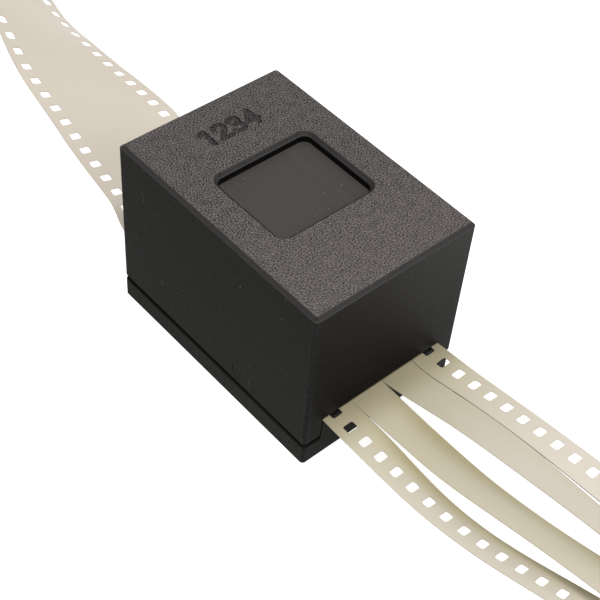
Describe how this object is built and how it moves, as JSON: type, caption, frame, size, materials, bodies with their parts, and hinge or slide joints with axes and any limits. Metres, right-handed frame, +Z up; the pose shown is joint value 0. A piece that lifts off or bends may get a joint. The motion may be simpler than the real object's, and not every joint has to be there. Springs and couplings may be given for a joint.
{
  "type": "film slitter",
  "caption": "Tabletop slitter: a magnet-held cover with blades over a low base; wide 35 mm film enters a flat slot at one end and leaves as narrow strips.",
  "frame": {"origin": "centre of the base's underside", "axes": "+X the way the film travels, out of the exit slot; +Y across the film; +Z up"},
  "size_m": [0.231, 0.045, 0.0474],
  "materials": {
    "black_print": "matte",
    "cassette_print": "matte",
    "film": "satin",
    "blade_steel": "satin",
    "screw_steel": "satin",
    "pin_steel": "satin",
    "magnet_nickel": "polished",
    "felt": "matte"
  },
  "bodies": {
    "base": {"base_plate": "black_print", "base_magnets": "magnet_nickel", "locating_pins": "pin_steel", "base_felt_entry": "felt", "base_felt_exit": "felt"},
    "cover": {"blade_dowels": "pin_steel", "blade_spacer_left": "cassette_print", "blade_spacer_right": "cassette_print", "cap_screws": "screw_steel", "cassette_cap": "cassette_print", "cassette_cheek_left": "cassette_print", "cassette_cheek_right": "cassette_print", "cassette_retainer_entry": "cassette_print", "cassette_retainer_exit": "cassette_print", "cover_magnets": "magnet_nickel", "cover_shell": "black_print", "cross_bolt_entry": "screw_steel", "cross_bolt_exit": "screw_steel", "cross_bolt_nuts": "screw_steel", "pressure_felt_entry": "felt", "pressure_felt_exit": "felt", "retainer_screws": "screw_steel", "slitting_blade_centre": "blade_steel", "slitting_blade_left": "blade_steel", "slitting_blade_right": "blade_steel"},
    "film": {"film_centre_strip_left": "film", "film_centre_strip_right": "film", "film_edge_strip_left": "film", "film_edge_strip_right": "film", "film_uncut": "film"}
  },
  "joints": [
    {"name": "cover_lift", "type": "slide", "parent": "base", "child": "cover", "axis": [0, 0, 1], "range_m": [0, 0.05]},
    {"name": "film_feed", "type": "slide", "parent": "base", "child": "film", "axis": [1, 0, 0], "range_m": [0, 0.00475]}
  ]
}
